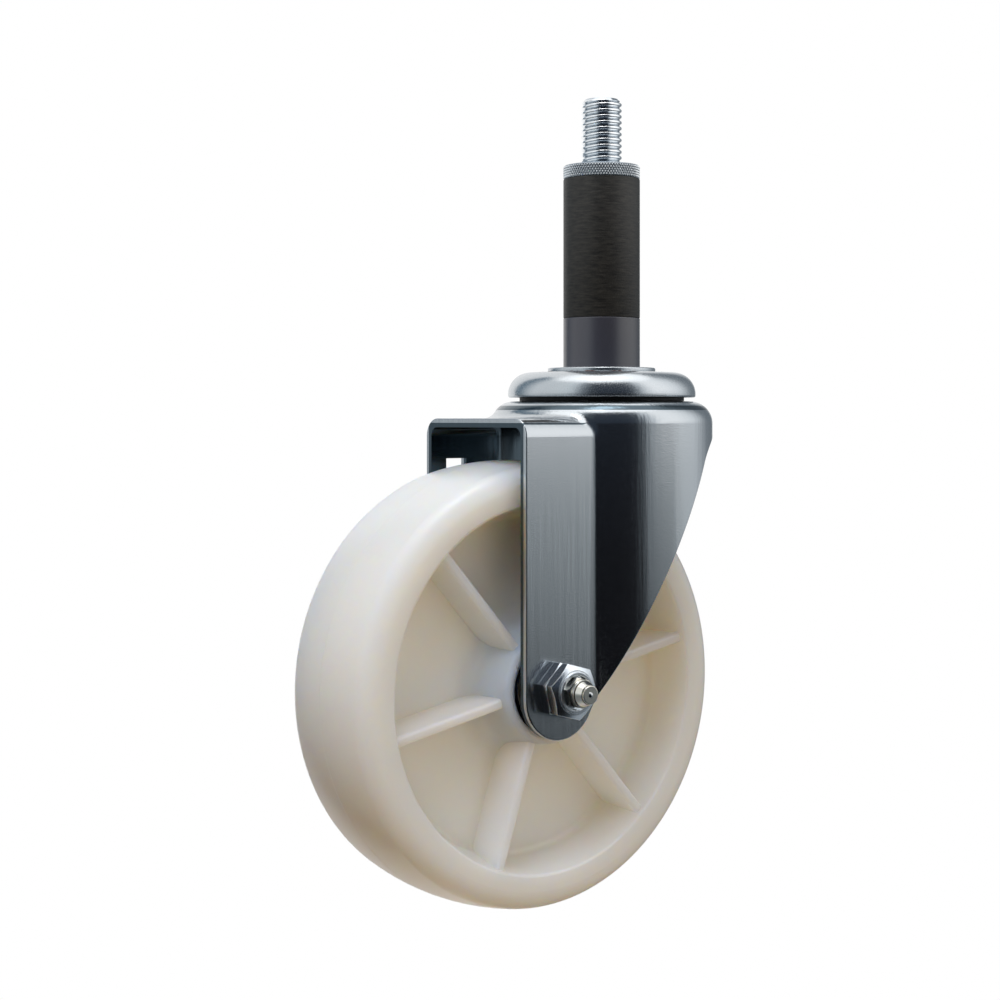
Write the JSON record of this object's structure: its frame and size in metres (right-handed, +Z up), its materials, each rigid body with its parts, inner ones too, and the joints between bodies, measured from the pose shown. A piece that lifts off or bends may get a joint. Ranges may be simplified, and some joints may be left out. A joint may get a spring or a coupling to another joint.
{
  "type": "swivel caster",
  "caption": "Swivel caster with an expanding stem for tube legs, a ball-raced pressed fork and a hard spoked wheel on a greased axle.",
  "frame": {"origin": "on the swivel axis, on the top face of the base washer, where the end of the tube leg seats", "axes": "+Z up the stem, which is the swivel axis; the wheel trails towards -X; Y is the wheel's axle, with the grease fitting at -Y"},
  "size_m": [0.1314, 0.0706, 0.234],
  "materials": {
    "zinc_steel": "bright zinc plate, smooth",
    "zinc_nut": "darker blue zinc plate",
    "nickel_steel": "warm nickel plate, polished",
    "bearing_steel": "hardened and polished",
    "knurled_steel": "bright zinc plate, knurled edge",
    "ground_rubber": "matt, ground",
    "seal_rubber": "matt",
    "spacer_plastic": "smooth, violet grey",
    "wheel_polymer": "satin, cream beige",
    "cage_polymer": "natural"
  },
  "bodies": {
    "mount": {"stem_stud": "zinc_steel", "rubber_sleeve": "ground_rubber", "spacer_tube": "spacer_plastic", "base_washer": "zinc_steel", "upper_race_cap": "zinc_steel", "dust_seal": "seal_rubber", "lower_race_cup": "zinc_steel", "king_washer": "zinc_steel", "king_nut": "zinc_nut"},
    "expander_nut": {"clamp_nut": "knurled_steel"},
    "swivel_fork": {"fork": "zinc_steel", "axle_bolt": "zinc_nut", "axle_head_washer": "zinc_steel", "axle_jam_nut": "zinc_nut", "axle_lock_nut": "zinc_nut", "grease_fitting": "nickel_steel", "check_spring": "bearing_steel", "spanner_bushing": "bearing_steel", "thrust_washers": "bearing_steel"},
    "upper_race_balls": {"upper_balls": "bearing_steel"},
    "lower_race_balls": {"lower_balls": "bearing_steel"},
    "wheel_assembly": {"wheel": "wheel_polymer", "bearing_shell": "bearing_steel"},
    "roller_set": {"bearing_rollers": "bearing_steel", "roller_cage": "cage_polymer"},
    "fitting_ball": {"check_ball": "bearing_steel"}
  },
  "joints": [
    {"name": "swivel", "type": "hinge", "parent": "mount", "child": "swivel_fork", "pos_m": [0, 0, 0], "axis": [0, 0, 1], "continuous": true},
    {"name": "upper_balls_orbit", "type": "hinge", "parent": "mount", "child": "upper_race_balls", "pos_m": [0, 0, 0], "axis": [0, 0, 1], "continuous": true},
    {"name": "lower_balls_orbit", "type": "hinge", "parent": "mount", "child": "lower_race_balls", "pos_m": [0, 0, 0], "axis": [0, 0, 1], "continuous": true},
    {"name": "wheel_spin", "type": "hinge", "parent": "swivel_fork", "child": "wheel_assembly", "pos_m": [-0.035, 0, -0.0905], "axis": [0, 1, 0], "continuous": true},
    {"name": "rollers_orbit", "type": "hinge", "parent": "swivel_fork", "child": "roller_set", "pos_m": [-0.035, 0, -0.0905], "axis": [0, 1, 0], "continuous": true},
    {"name": "clamp_travel", "type": "slide", "parent": "mount", "child": "expander_nut", "axis": [0, 0, -1], "range_m": [0, 0.004], "deforming": ["rubber_sleeve"]},
    {"name": "check_ball_open", "type": "slide", "parent": "swivel_fork", "child": "fitting_ball", "axis": [0, 1, 0], "range_m": [0, 0.0005], "stiffness_N_per_m": 200, "springref_m": -0.0005}
  ],
  "couplings": [
    {"joint": "upper_balls_orbit", "follows": "swivel", "ratio": 0.5},
    {"joint": "lower_balls_orbit", "follows": "swivel", "ratio": 0.5},
    {"joint": "rollers_orbit", "follows": "wheel_spin", "ratio": 0.6018}
  ]
}
